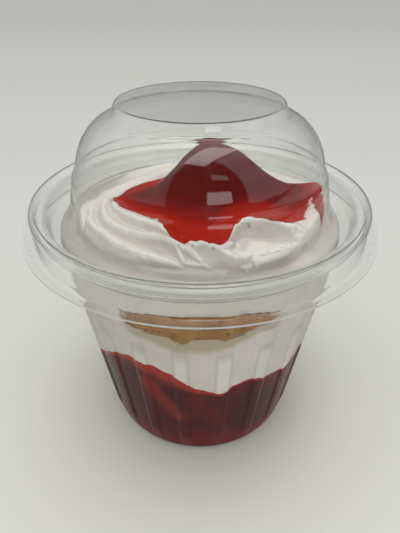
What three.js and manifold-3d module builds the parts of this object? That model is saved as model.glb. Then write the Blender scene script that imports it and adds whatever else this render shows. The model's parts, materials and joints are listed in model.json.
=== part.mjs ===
// A lidded parfait cup: clear ribbed cup, clear dome lid, and four layers of dessert under a glazed peak.
// Millimetres, +Z up, standing on z = 0 with the axis of the cup on Z. The front looks along -Y.

import * as THREE from 'three';
import { mergeVertices } from 'three/addons/utils/BufferGeometryUtils.js';
import Module from 'manifold-3d';

const wasm = await Module();
wasm.setup();

// Driving dimensions of the package
const sheet = 0.5;              // wall of the formed plastic
const gap = 0.3;                // clearance between neighbouring pieces
const baseFloor = 1.4;          // the cup's floor is pushed up by this much
const heelRadius = 3;           // rounding between floor and wall
const wallFoot = 33.3;          // outer radius of the wall, carried down to z = 0
const wallTop = 44.1;           // outer radius of the wall under the shoulder
const shoulderHeight = 75.4;
const mouthRadius = 47.1;       // above the shoulder, where the lid plugs in
const lipRadius = 50.2;
const lipHeight = 83;
const ribCount = 20;
const ribRelief = 0.55;
const ribWidth = 0.33;          // share of one rib spacing
const ribTurn = THREE.MathUtils.degToRad(10);   // a rib's place from the front, towards +X

const lidTop = 113.1;
const lidDisc = 24.4;           // radius of the flat top
const lidDiscDrop = 3.5;        // height of the short wall round the flat top
const domeStep = { radius: 37.1, height: 94.6, out: 1.1 };
const domeFoot = { radius: 40.3, height: 82.8 };
const channelFloor = 79.2;      // the trough between dome and rim
const channelOuter = 46.2;
const rimRadius = 51.9;
const rimHeight = 85.5;
const bandFoot = 76.2;          // lower edge of the upright band
const flangeRadius = 55.1;      // the thin skirt that stands out from the band

// Driving dimensions of the dessert
const strawberryLevel = 39.5;
const strawberryWaves = [       // how the top of the bottom layer rises and falls round the cup
  { waves: 1, height: 4.2, peak: -48 },
  { waves: 3, height: 2.3, peak: -38 },
  { waves: 8, height: 1.3, peak: 22 },
];
const spongeBottom = 60.8;
const spongeTop = 69.6;
const spongeInset = 6;          // how far the sponge stays off the wall at the back
const spongeShows = THREE.MathUtils.degToRad(29);   // to either side of the front, on the wall
const spongeSlope = 3.5;        // how much lower its top lies at the sides and back
const creamShelf = 78;          // the cream's level under the lid's channel
const creamEdge = 39.2;         // radius inside which it rises into the dome
const creamSettle = 2.4;        // width of its slope down to the level at the edge
const creamRise = 5;
const creamRopes = [            // piped ropes: points of the crest, half width
  {
    crest: [
      [-35.5, -14, 82.3], [-33.5, -8, 83.6], [-28.5, -2, 85.2], [-20.5, 5, 86.6], [-11, 11.5, 88],
      [-3, 15, 88.3],
    ],
    half: 7,
  },
  { crest: [[-3, 15, 88.3], [9, 19, 87], [21, 17, 85.3], [31, 10, 84.5]], half: 9 },
  { crest: [[31, 10, 84.5], [36, 1, 84.6], [36, -8, 84.5], [32, -16.5, 84.2], [27, -20.5, 84]], half: 7 },
];
const creamFolds = [            // folds between ropes: a steep fall outwards, a gentle one inwards
  {
    crest: [[-33, -9, 83.8], [-31.9, -16.2, 84], [-22.9, -26.9, 83], [-12.2, -32.9, 82], [-1.5, -37, 79.6]],
    width: 2.2, drop: 3.4, inwards: 0.34,
  },
  {
    crest: [[-28.5, -7, 86], [-28.6, -12.5, 86], [-22.5, -22.4, 85.2], [-9.5, -27.6, 84.6], [-4, -30.9, 83.4]],
    width: 2.2, drop: 3.2, inwards: 0.35,
  },
  { crest: [[-25.8, -9, 86.6], [-18.3, -18.6, 86], [-8.5, -26.5, 84.8]], width: 2, drop: 2.4, inwards: 0.3 },
  {
    crest: [[6.5, -28.5, 82.4], [10.5, -20.4, 84.6], [13.4, -19, 85.4], [19.1, -19.4, 85.6], [25.5, -22, 84.9]],
    width: 6.5, drop: 4.8, inwards: 0.2,
  },
  {
    crest: [[-3.9, -27.6, 83.8], [1.7, -29.7, 84], [7.4, -32.2, 82.6], [14, -32.2, 81], [23, -30, 81]],
    width: 3.4, drop: 2.6, inwards: 0.02,
  },
];
const glazeCentre = new THREE.Vector2(2, -4);
const glazeReach = 17;
const glazeLobes = [            // tongues of the glaze's outline, degrees from the front
  { at: 86, spread: 24, out: 20 },
  { at: 54, spread: 12, out: 5 },
  { at: -6, spread: 22, out: 9 },
  { at: -50, spread: 25, out: 3.5 },
  { at: -88, spread: 22, out: 12.3 },
];
const glazeFarthest = 38.2;     // from the axis of the cup
const glazeLevel = 84;
const glazeFall = { slope: 0.12, from: 14 };    // the level falls towards the front
const glazePeak = { at: [3.6, -0.5], height: 8.5, half: 15.1, power: 3.1 };
const glazeWing = { from: [2.9, 1], to: [36, 0], height: 7, fade: 0.82, half: 9.6 };
const glazeTip = { at: [37.8, 0.5], height: 3.2, half: 4.5 };     // where the wing meets the dome
const glazeEdge = 1.1;          // thickness at its outline

function drawPath(points) {
  return points.map(([r, z]) => new THREE.Vector2(r, z));
}

// The plastic's outer face, given as a path that starts on the axis, becomes a closed profile of even wall.
function formedSheet(path, thickness) {
  const inner = path.map((point, i) => {
    if (i === 0) return new THREE.Vector2(0, point.y + thickness);
    const before = point.clone().sub(path[i - 1]).normalize();
    const after = i < path.length - 1 ? path[i + 1].clone().sub(point).normalize() : before;
    const along = before.clone().add(after).normalize();
    const reach = thickness / Math.max(0.6, along.dot(before));
    return new THREE.Vector2(point.x - along.y * reach, point.y + along.x * reach);
  });
  return [...path, ...inner.reverse()];
}

function finish(geometry) {
  let body = geometry;
  body.deleteAttribute('normal');
  body.deleteAttribute('uv');
  body = mergeVertices(body, 1e-4);
  const index = body.getIndex().array;
  const kept = [];
  for (let i = 0; i < index.length; i += 3) {
    const [a, b, c] = [index[i], index[i + 1], index[i + 2]];
    if (a !== b && b !== c && c !== a) kept.push(a, b, c);
  }
  body.setIndex(kept);
  return body;
}

function faceOutwards(body) {
  const index = Array.from(body.getIndex().array);
  const at = body.getAttribute('position');
  const [a, b, c] = [new THREE.Vector3(), new THREE.Vector3(), new THREE.Vector3()];
  let volume = 0;
  for (let i = 0; i < index.length; i += 3) {
    a.fromBufferAttribute(at, index[i]);
    b.fromBufferAttribute(at, index[i + 1]);
    c.fromBufferAttribute(at, index[i + 2]);
    volume += a.dot(b.cross(c));
  }
  if (volume < 0) {
    for (let i = 0; i < index.length; i += 3) [index[i], index[i + 1]] = [index[i + 1], index[i]];
    body.setIndex(index);
  }
  body.computeVertexNormals();
  return body;
}

// A profile turned round Z, whose points are then moved by a rule on angle (0 at the front), radius and height.
function turned(profile, segments, rule = null) {
  const lathe = new THREE.LatheGeometry(profile, segments);
  lathe.rotateX(Math.PI / 2);
  const body = finish(lathe);
  const at = body.getAttribute('position');
  if (rule) {
    for (let i = 0; i < at.count; i += 1) {
      const angle = Math.atan2(at.getX(i), -at.getY(i));
      const radius = Math.hypot(at.getX(i), at.getY(i));
      const [newAngle, newRadius, newHeight] = rule(angle, radius, at.getZ(i));
      at.setXYZ(i, newRadius * Math.sin(newAngle), -newRadius * Math.cos(newAngle), newHeight);
    }
  }
  return faceOutwards(body);
}

function toSolid(body) {
  return new wasm.Manifold(new wasm.Mesh({
    numProp: 3,
    vertProperties: new Float32Array(body.getAttribute('position').array),
    triVerts: new Uint32Array(body.getIndex().array),
  }));
}

function fromSolid(solid) {
  const mesh = solid.getMesh();
  const body = new THREE.BufferGeometry();
  body.setAttribute('position', new THREE.BufferAttribute(new Float32Array(mesh.vertProperties), 3));
  body.setIndex(Array.from(mesh.triVerts));
  return faceOutwards(body);
}

// Cup

function wallRadius(height) {
  return THREE.MathUtils.lerp(wallFoot, wallTop, height / shoulderHeight);
}

function cupPath() {
  const path = [[0, baseFloor], [wallFoot - 10, baseFloor], [wallFoot - 8.2, 0], [wallFoot - heelRadius, 0]];
  for (let step = 1; step <= 3; step += 1) {
    const turn = (step / 3) * (Math.PI / 2);
    const height = heelRadius * (1 - Math.cos(turn));
    path.push([wallRadius(height) - heelRadius * (1 - Math.sin(turn)), height]);
  }
  path.push([wallRadius(9), 9], [wallRadius(71), 71], [wallTop, shoulderHeight]);
  path.push([wallTop + 1.4, shoulderHeight + 1], [mouthRadius, shoulderHeight + 1.9]);
  path.push([mouthRadius + 1.5, lipHeight - 0.7], [lipRadius - 1.1, lipHeight - 0.1]);
  path.push([lipRadius - 0.3, lipHeight - 0.1], [lipRadius, lipHeight - 0.5], [lipRadius, lipHeight - 1.6]);
  return drawPath(path);
}

// Three places on each rib spacing: the two edges of the rib and the middle of the panel beside it.
function ribbed(angle, radius, height) {
  const fade = THREE.MathUtils.smoothstep(height, 3, 9)
    * (1 - THREE.MathUtils.smoothstep(height, 71, shoulderHeight));
  const spacing = (2 * Math.PI) / ribCount;
  const third = Math.round((angle / spacing) * 3);
  const rib = Math.floor(third / 3);
  const place = third - rib * 3;
  const spots = [-ribWidth / 2, ribWidth / 2, 0.5];
  const onRib = place < 2;
  return [ribTurn + (rib + spots[place]) * spacing, radius + (onRib ? ribRelief * fade : 0), height];
}

function makeCup() {
  return turned(formedSheet(cupPath(), sheet), ribCount * 3, ribbed);
}

// Lid

function lidPath() {
  const path = [[0, lidTop], [lidDisc - 0.9, lidTop], [lidDisc, lidTop - 0.8]];
  const foot = new THREE.Vector2(lidDisc + 1.2, lidTop - lidDiscDrop);
  const step = new THREE.Vector2(domeStep.radius, domeStep.height);
  const dome = new THREE.CubicBezierCurve(
    foot,
    new THREE.Vector2(foot.x + 7.5, foot.y - 2.1),
    new THREE.Vector2(step.x - 0.8, step.y + 6.5),
    step,
  );
  dome.getPoints(6).forEach((point) => path.push([point.x, point.y]));
  path.push([step.x + domeStep.out, step.y - 1.2], [domeFoot.radius, domeFoot.height]);
  path.push([domeFoot.radius + 0.9, channelFloor + 0.9], [domeFoot.radius + 2.2, channelFloor]);
  path.push([channelOuter - 0.6, channelFloor], [channelOuter, channelFloor + 0.5]);
  path.push([47.6, 83.7], [49.5, 84.6], [50.5, 85.2]);
  path.push([rimRadius - 0.5, rimHeight], [rimRadius, rimHeight - 0.5]);
  path.push([rimRadius - 0.4, bandFoot + 0.6], [rimRadius, bandFoot], [flangeRadius, bandFoot + 0.5]);
  return drawPath(path);
}

function makeLid() {
  return turned(formedSheet(lidPath(), -sheet), 48);
}

// Dessert

// The flat panels stand nearer the axis than the ribs, so they set how wide the filling is.
function fillRadius(height) {
  const panel = (Math.PI / ribCount) * (1 - ribWidth) / 2;
  const heel = Math.max(0, heelRadius - (height - sheet));
  const rounding = heelRadius - Math.sqrt(Math.max(0, heelRadius ** 2 - heel ** 2));
  return (wallRadius(height) - sheet) * Math.cos(panel) - gap - rounding;
}

function strawberryTop(angle, share) {
  const wave = strawberryWaves.reduce((sum, { waves, height, peak }) => (
    sum + height * Math.cos(waves * (angle - THREE.MathUtils.degToRad(peak)))
  ), 0);
  return strawberryLevel + wave * share;
}

// A layer between two surfaces, out to a rim: profile points hold a share of the radius and of the depth.
function layer(bottom, top, radiusAt, segments, shares = [1]) {
  const sides = [1 / 3, 2 / 3];
  const profile = drawPath([
    [0, 0], ...shares.map((share) => [share, 0]), ...sides.map((side) => [1, side]),
    ...shares.toReversed().map((share) => [share, 1]), [0, 1],
  ]);
  return turned(profile, segments, (angle, share, depth) => {
    const edge = THREE.MathUtils.lerp(bottom(angle, 1), top(angle, 1), depth);
    const height = THREE.MathUtils.lerp(bottom(angle, share), top(angle, share), depth);
    return [angle, share * radiusAt(edge, angle), height];
  });
}

function makeStrawberryLayer() {
  return layer(() => baseFloor + sheet + gap, strawberryTop, fillRadius, 42);
}

function makeCreamLayer() {
  const bottom = (angle, share) => strawberryTop(angle, share) + gap;
  return layer(bottom, () => spongeBottom - gap, fillRadius, 42);
}

// The slice of sponge shows on the wall at the front, and the cream closes round it at the sides and back.
function spongeSunk(angle) {
  return THREE.MathUtils.smoothstep(Math.abs(angle), spongeShows, spongeShows + 0.9);
}

function spongeRadius(height, angle) {
  const ragged = 0.08 * Math.sin(11 * angle) + 0.06 * Math.sin(17 * angle + 1) - 0.14;
  return fillRadius(height) + ragged - spongeInset * spongeSunk(angle);
}

// With a clearance it is the hollow for the sponge, open below, and through the cream's side where it shows.
function makeSponge(clearance = 0) {
  const bottom = () => spongeBottom - 3 * clearance;
  const top = (angle, share) => {
    const slope = spongeSlope * THREE.MathUtils.smoothstep(Math.abs(angle), spongeShows / 3, spongeShows * 1.2);
    return spongeTop + share * (0.4 * Math.sin(7 * angle) - slope) + clearance;
  };
  const radius = (height, angle) => spongeRadius(height, angle) + clearance * (2 - spongeSunk(angle));
  return layer(bottom, top, radius, 48);
}

// The curve through a crest's points, as short straight steps
function crestLine(crest) {
  const points = crest.map((point) => new THREE.Vector3(...point));
  return new THREE.CatmullRomCurve3(points, false, 'catmullrom').getPoints(6 * crest.length);
}

const ropes = creamRopes.map(({ crest, half }) => ({ line: crestLine(crest), half }));
const folds = creamFolds.map(({ crest, ...profile }) => ({ line: crestLine(crest), ...profile }));

// How far a place on plan is from a crest, how high the crest is there, and if the place lies outside it
function nearestCrest(line, x, y) {
  let best = { away: Infinity, crest: 0, outside: false };
  for (let i = 1; i < line.length; i += 1) {
    const [start, end] = [line[i - 1], line[i]];
    const [alongX, alongY] = [end.x - start.x, end.y - start.y];
    const [toX, toY] = [x - start.x, y - start.y];
    const share = THREE.MathUtils.clamp((toX * alongX + toY * alongY) / (alongX ** 2 + alongY ** 2), 0, 1);
    const away = Math.hypot(toX - share * alongX, toY - share * alongY);
    if (away < best.away) {
      best = { away, crest: THREE.MathUtils.lerp(start.z, end.z, share), outside: toX * alongY > toY * alongX };
    }
  }
  return best;
}

function creamTop(x, y) {
  const radius = Math.hypot(x, y);
  let height = creamShelf + creamRise * Math.max(0, 1 - (radius / creamEdge) ** 2);
  ropes.forEach(({ line, half }) => {
    const near = nearestCrest(line, x, y);
    const share = Math.min(1, near.away / half);
    height = Math.max(height, near.crest - half * (1 - Math.sqrt(1 - share ** 2)));
  });
  folds.forEach(({ line, width, drop, inwards }) => {
    const near = nearestCrest(line, x, y);
    const share = Math.min(1, near.away / width);
    const outer = drop * (1.5 * share - 0.5 * share ** 3) + 1.2 * Math.max(0, near.away - width);
    const inner = inwards * near.away + 0.03 * near.away ** 2;
    height = Math.max(height, near.crest - (near.outside ? outer : inner));
  });
  const settle = THREE.MathUtils.smoothstep(radius, creamEdge - creamSettle, creamEdge);
  return THREE.MathUtils.lerp(height, creamShelf, settle);
}

function creamSolid() {
  const bottom = spongeBottom;
  const side = [bottom, 68, shoulderHeight - 0.9].map((height) => [fillRadius(height), height]);
  const rings = [38.2, 36.9, 35.4, 33.8, 32, 30.2, 28, 25.5, 22.5, 18, 11, 0];
  const profile = drawPath([
    [0, bottom], ...side, [wallTop - 1, creamShelf - 1.4], [wallTop - 0.2, creamShelf - 0.5],
    [creamEdge, creamShelf],
    ...rings.map((radius) => [radius, creamShelf + 1]),
  ]);
  const body = turned(profile, 66, (angle, radius, height) => {
    const onTop = height > creamShelf;
    const [x, y] = [radius * Math.sin(angle), -radius * Math.cos(angle)];
    return [angle, radius, onTop ? creamTop(x, y) : height];
  });
  return toSolid(body);
}

const cream = creamSolid();

function makeCreamSwirl() {
  return fromSolid(cream.subtract(toSolid(makeSponge(gap))));
}

function glazeRadius(angle) {
  const degrees = THREE.MathUtils.radToDeg(angle);
  const reach = glazeLobes.reduce((sum, { at, spread, out }) => {
    const away = (((degrees - at + 540) % 360) - 180) / spread;
    return sum + out * Math.exp(-away * away);
  }, glazeReach);
  const along = glazeCentre.dot(new THREE.Vector2(Math.sin(angle), -Math.cos(angle)));
  return Math.min(reach, Math.sqrt(along ** 2 - glazeCentre.lengthSq() + glazeFarthest ** 2) - along);
}

function glazeTop(x, y, share) {
  const below = creamTop(x, y);
  const fromPeak = Math.hypot(x - glazePeak.at[0], y - glazePeak.at[1]) / glazePeak.half;
  const alongWing = new THREE.Vector2(x, y).sub(new THREE.Vector2(...glazeWing.from));
  const wing = new THREE.Vector2(...glazeWing.to).sub(new THREE.Vector2(...glazeWing.from));
  const reach = THREE.MathUtils.clamp(alongWing.dot(wing) / wing.lengthSq(), 0, 1);
  const fromWing = alongWing.sub(wing.multiplyScalar(reach)).length() / glazeWing.half;
  const fromTip = Math.hypot(x - glazeTip.at[0], y - glazeTip.at[1]) / glazeTip.half;
  const full = glazeLevel - glazeFall.slope * Math.max(0, -y - glazeFall.from)
    + glazePeak.height * Math.exp(-(fromPeak ** glazePeak.power))
    + glazeWing.height * Math.exp(-(fromWing ** 2)) * (1 - glazeWing.fade * reach)
    + glazeTip.height * Math.exp(-(fromTip ** 2));
  const rounded = Math.sqrt(Math.max(0, 1 - share ** 4));
  return below + gap + glazeEdge + Math.max(1, full - below) * rounded;
}

function makeTopping() {
  const place = (angle, share) => {
    const radius = share * glazeRadius(angle);
    return [glazeCentre.x + radius * Math.sin(angle), glazeCentre.y - radius * Math.cos(angle)];
  };
  const bottom = (angle, share) => creamTop(...place(angle, share)) - 2;
  const top = (angle, share) => glazeTop(...place(angle, share), share);
  const shares = [0.12, 0.25, 0.4, 0.55, 0.7, 0.83, 0.93, 1];
  const blob = layer(bottom, top, (height, angle) => glazeRadius(angle), 36, shares);
  blob.translate(glazeCentre.x, glazeCentre.y, 0);
  // The folds cut slivers off the thin edge, and the glaze is the one large piece
  const bodies = toSolid(blob).subtract(cream.translate([0, 0, gap])).decompose();
  return fromSolid(bodies.reduce((largest, body) => (body.volume() > largest.volume() ? body : largest)));
}

// Scene graph

const clearPlastic = { color: 0xeef1ee, roughness: 0.06, metalness: 0, transparent: true, opacity: 0.3 };
const whippedCream = { color: 0xf1ede2, roughness: 0.55, metalness: 0 };
const pieces = [
  ['cup', makeCup(), clearPlastic],
  ['lid', makeLid(), clearPlastic],
  ['strawberry_layer', makeStrawberryLayer(), { color: 0x7d1f1a, roughness: 0.25, metalness: 0 }],
  ['cream_layer', makeCreamLayer(), whippedCream],
  ['sponge_layer', makeSponge(), { color: 0xc08a4e, roughness: 0.85, metalness: 0 }],
  ['cream_swirl', makeCreamSwirl(), whippedCream],
  ['strawberry_topping', makeTopping(), { color: 0x9c1410, roughness: 0.12, metalness: 0 }],
];

const parfait = new THREE.Group();
pieces.forEach(([name, geometry, finishOfPiece]) => {
  const mesh = new THREE.Mesh(geometry, new THREE.MeshStandardMaterial(finishOfPiece));
  mesh.name = name;
  parfait.add(mesh);
});

export default parfait;
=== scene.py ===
import json
import math

import bpy
import numpy as np
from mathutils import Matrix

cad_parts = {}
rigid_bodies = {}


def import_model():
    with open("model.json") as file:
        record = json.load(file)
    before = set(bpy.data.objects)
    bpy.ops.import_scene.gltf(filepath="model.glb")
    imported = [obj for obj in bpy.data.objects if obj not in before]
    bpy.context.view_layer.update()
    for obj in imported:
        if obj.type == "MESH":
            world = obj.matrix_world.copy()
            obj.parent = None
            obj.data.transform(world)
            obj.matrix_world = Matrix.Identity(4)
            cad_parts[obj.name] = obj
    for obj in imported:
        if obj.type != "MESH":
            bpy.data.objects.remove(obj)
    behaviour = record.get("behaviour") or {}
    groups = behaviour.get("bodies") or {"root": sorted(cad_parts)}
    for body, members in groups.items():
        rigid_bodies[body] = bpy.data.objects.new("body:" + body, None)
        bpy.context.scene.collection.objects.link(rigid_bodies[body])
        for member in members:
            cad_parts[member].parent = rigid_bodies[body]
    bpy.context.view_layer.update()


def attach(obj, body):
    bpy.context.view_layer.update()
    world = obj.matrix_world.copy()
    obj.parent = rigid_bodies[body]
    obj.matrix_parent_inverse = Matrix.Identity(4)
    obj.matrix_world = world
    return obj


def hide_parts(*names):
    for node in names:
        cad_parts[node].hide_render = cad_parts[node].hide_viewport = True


# A parfait in a clear ribbed cup under a clear dome lid. Sizes are in millimetres, angles are degrees
# measured from the front (-Y) towards +X, and every mesh is made in metres. Materials read metres.

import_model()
mm = 0.001


def smooth(low, high, value):
    share = np.clip((value - low) / (high - low), 0, 1)
    return share * share * (3 - 2 * share)


def lerp(first, second, share):
    return first + (second - first) * share


# Points of a round corner, from one angle to another
def arc(across, up, radius, first, last, steps=6):
    turns = [math.radians(lerp(first, last, step / steps)) for step in range(steps + 1)]
    return [(across + radius * math.cos(turn), up + radius * math.sin(turn)) for turn in turns]


# Modelling helpers

def deselectAll():
    for item in bpy.context.view_layer.objects:
        item.select_set(False)


# A disc whose edge is extruded from ring to ring; with closeEnd the last ring closes in its middle
def ringPiece(name, segments, rings, closeEnd=False):
    deselectAll()
    radius, height = rings[0]
    bpy.ops.mesh.primitive_circle_add(
        vertices=segments, radius=radius * mm, fill_type="TRIFAN", location=(0, 0, height * mm)
    )
    piece = bpy.context.object
    piece.name = name
    piece.data.name = name
    bpy.ops.object.transform_apply(location=True, rotation=True, scale=True)
    bpy.ops.object.mode_set(mode="EDIT")
    bpy.ops.mesh.select_mode(type="VERT")
    bpy.ops.mesh.select_all(action="DESELECT")
    bpy.ops.mesh.select_non_manifold()
    for nextRadius, nextHeight in rings[1:]:
        move = {"value": (0, 0, (nextHeight - height) * mm)}
        bpy.ops.mesh.extrude_region_move(TRANSFORM_OT_translate=move)
        share = nextRadius / radius
        bpy.ops.transform.resize(value=(share, share, 1), center_override=(0, 0, 0))
        radius, height = nextRadius, nextHeight
    if closeEnd:
        bpy.ops.mesh.extrude_region_move()
        bpy.ops.mesh.merge(type="CENTER")
        bpy.ops.mesh.select_all(action="SELECT")
        bpy.ops.mesh.normals_make_consistent(inside=False)
    bpy.ops.object.mode_set(mode="OBJECT")
    return piece


def readPoints(piece):
    points = np.empty(len(piece.data.vertices) * 3)
    piece.data.vertices.foreach_get("co", points)
    return points.reshape(-1, 3) / mm


def writePoints(piece, points):
    piece.data.vertices.foreach_set("co", (points * mm).ravel())
    piece.data.update()


def polar(points):
    return np.arctan2(points[:, 0], -points[:, 1]), np.hypot(points[:, 0], points[:, 1])


def fromPolar(angle, radius, height):
    return np.stack([radius * np.sin(angle), -radius * np.cos(angle), height], axis=1)


def setAttribute(piece, name, values):
    layer = piece.data.attributes.new(name, "FLOAT", "POINT")
    layer.data.foreach_set("value", np.asarray(values, dtype=np.float32))


def applyModifier(piece, kind, **settings):
    modifier = piece.modifiers.new(kind.title(), kind)
    for key, value in settings.items():
        setattr(modifier, key, value)
    bpy.context.view_layer.objects.active = piece
    bpy.ops.object.modifier_apply(modifier=modifier.name)


def finishPiece(piece, slotName, material, *nodes, angle=50):
    deselectAll()
    piece.select_set(True)
    bpy.context.view_layer.objects.active = piece
    bpy.ops.object.shade_smooth_by_angle(angle=math.radians(angle))
    piece.data.materials.clear()
    piece.data.materials.append(material)
    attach(piece, "root")
    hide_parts(*nodes)
    print(piece.name, len(piece.data.polygons), "faces")


# The value at an angle from a table of angles and values, blurred over some degrees
def fromTable(angle, table, blur):
    spots = [math.radians(at) for at, _ in table]
    values = [value for _, value in table]
    turns = (-blur, 0, blur)
    total = sum(np.interp(angle + math.radians(turn), spots, values, period=2 * math.pi) for turn in turns)
    return total / len(turns)


# Smooth noise in space, from a seeded set of plane waves
def ripple(points, scale, seed, waves=9):
    draw = np.random.default_rng(seed)
    total = np.zeros(len(points))
    for _ in range(waves):
        direction = draw.normal(size=3)
        direction *= draw.uniform(0.6, 1.5) * 2 * math.pi / (scale * np.linalg.norm(direction))
        total += np.sin(points @ direction + draw.uniform(0, 2 * math.pi))
    return total / math.sqrt(waves / 2)


# Shader helpers

class Wire:
    def __init__(self, finish, socket):
        self.finish = finish
        self.socket = socket

    def maths(self, operation, first, second):
        return self.finish.add("ShaderNodeMath", {"operation": operation}, {0: first, 1: second})

    def __add__(self, other):
        return self.maths("ADD", self, other)

    def __sub__(self, other):
        return self.maths("SUBTRACT", self, other)

    def __rsub__(self, other):
        return self.maths("SUBTRACT", other, self)

    def __mul__(self, other):
        return self.maths("MULTIPLY", self, other)

    __radd__ = __add__
    __rmul__ = __mul__


class Finish:
    def __init__(self, name, world=False):
        self.material = (bpy.data.worlds if world else bpy.data.materials).new(name)
        self.material.use_nodes = True
        self.tree = self.material.node_tree
        self.tree.nodes.clear()
        self.place = self.add("ShaderNodeTexCoord", out="Generated" if world else "Object")

    def add(self, kind, settings=None, sockets=None, out=0):
        node = self.tree.nodes.new(kind)
        for key, value in (settings or {}).items():
            if key == "stops":
                while len(node.color_ramp.elements) < len(value):
                    node.color_ramp.elements.new(0.5)
                for element, (at, colour) in zip(node.color_ramp.elements, value):
                    element.position = at
                    element.color = (*colour, 1)
            else:
                setattr(node, key, value)
        for key, value in (sockets or {}).items():
            if isinstance(value, Wire):
                self.tree.links.new(value.socket, node.inputs[key])
            else:
                node.inputs[key].default_value = value
        return Wire(self, node.outputs[out])

    def noise(self, size, detail=3.0, stretch=(1, 1, 1)):
        place = self.add("ShaderNodeMapping", None, {"Vector": self.place, "Scale": stretch})
        sockets = {"Vector": place, "Scale": 1 / (size * mm), "Detail": detail, "Roughness": 0.55}
        return self.add("ShaderNodeTexNoise", None, sockets)

    def cells(self, size):
        return self.add("ShaderNodeTexVoronoi", None, {"Vector": self.place, "Scale": 1 / (size * mm)})

    def split(self, vector):
        node = self.add("ShaderNodeSeparateXYZ", None, {"Vector": vector}).socket.node
        return {axis: Wire(self, node.outputs[axis]) for axis in "XYZ"}

    def attribute(self, name):
        return self.add("ShaderNodeAttribute", {"attribute_name": name}, out="Fac")

    def ramp(self, value, *stops):
        return self.add("ShaderNodeValToRGB", {"stops": stops}, {"Fac": value})

    def range(self, value, low, high, toLow=0.0, toHigh=1.0):
        sockets = {"Value": value, "From Min": low, "From Max": high, "To Min": toLow, "To Max": toHigh}
        return self.add("ShaderNodeMapRange", {"interpolation_type": "SMOOTHSTEP"}, sockets)

    def blend(self, share, first, second):
        first, second = [(*c, 1) if isinstance(c, tuple) else c for c in (first, second)]
        settings = {"data_type": "RGBA"}
        return self.add("ShaderNodeMix", settings, {0: share, 6: first, 7: second}, out=2)

    # 0 for light that had no bounce of this kind, else 1
    def pathDepth(self, kind):
        return self.range(self.add("ShaderNodeLightPath", out=kind), 0, 1)

    def bump(self, height, distance, strength, normal=None):
        sockets = {"Height": height, "Distance": distance * mm, "Strength": strength}
        if normal is not None:
            sockets["Normal"] = normal
        return self.add("ShaderNodeBump", None, sockets)

    def principled(self, sockets):
        return self.add("ShaderNodeBsdfPrincipled", None, sockets)

    def output(self, shader, kind="ShaderNodeOutputMaterial"):
        node = self.tree.nodes.new(kind)
        self.tree.links.new(shader.socket, node.inputs["Surface"])
        return self.material


# Materials

plasticLook = {
    "roughness": 0.02, "tint": (0.995, 1.0, 0.995), "domeTint": (0.945, 0.95, 0.945),
    # The bend and frost values paint a whitish highlight on the sheet's sharpest bends and cut edge
    "passing": (0.93, 0.935, 0.925), "bendHighlightShare": 0.22, "highlightFrost": (0.93, 0.94, 0.92),
    "domeHeights": (0.085, 0.090, 0.104, 0.110),      # metres over which the dome's tint comes and goes
}


# Clear sheet, with a painted highlight: a whitish frost at its sharpest bends and a milky one at its cut
# edge
def clearPlastic(name, streak, ior, edgeHighlight=0.0):
    finish = Finish(name)
    look = plasticLook
    waves = finish.noise(14, 2, stretch=streak)
    fine = finish.noise(2.2, 3)
    normal = finish.bump(waves, 0.16, 0.5)
    normal = finish.bump(fine, 0.01, 0.4, normal)
    normal = finish.bump(finish.noise(2.5, 2), 0.25, finish.attribute("flange") * 0.8, normal)
    smear = finish.range(finish.noise(9, 3), 0.35, 0.75, look["roughness"], look["roughness"] * 3)
    height = finish.split(finish.place)["Z"]
    first, full, fading, last = look["domeHeights"]
    dome = finish.range(height, first, full) * (1 - finish.range(height, fading, last))
    glass = finish.principled({
        "Base Color": finish.blend(dome, look["tint"], look["domeTint"]), "Roughness": smear, "IOR": ior,
        "Transmission Weight": 1.0, "Normal": normal,
    })
    clear = finish.add("ShaderNodeBsdfTransparent", None, {"Color": (*look["passing"], 1)})
    shadow = finish.add("ShaderNodeLightPath", out="Is Shadow Ray")
    diffuse = finish.add("ShaderNodeLightPath", out="Is Diffuse Ray")
    straight = shadow.maths("MAXIMUM", shadow, diffuse)
    sheet = finish.add("ShaderNodeMixShader", None, {0: straight, 1: glass, 2: clear})
    # A whitish frost mixed in at the bends and at the cut edge: a painted highlight
    highlightFrost = finish.principled({"Base Color": (*look["highlightFrost"], 1), "Roughness": 0.5, "Normal": normal})
    paintedHighlight = edgeHighlight if edgeHighlight else finish.attribute("bend") * look["bendHighlightShare"]
    return finish.output(finish.add("ShaderNodeMixShader", None, {0: paintedHighlight, 1: sheet, 2: highlightFrost}))


creamLook = {
    "dull": (0.815, 0.765, 0.70), "bright": (0.88, 0.83, 0.765), "film": (0.46, 0.36, 0.24),
    # The slope, shelf and shade colours paint shade; the crest and rib colours paint highlights
    "slope": (0.48, 0.44, 0.395), "crest": (0.97, 0.945, 0.90), "shelf": (0.41, 0.375, 0.335),
    "rib": (0.98, 0.95, 0.90), "shade": (0.42, 0.39, 0.35), "speck": (0.22, 0.15, 0.12),
    "leftSide": (-0.042, 0.015),      # metres along X over which the shade at the left ends
}


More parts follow.
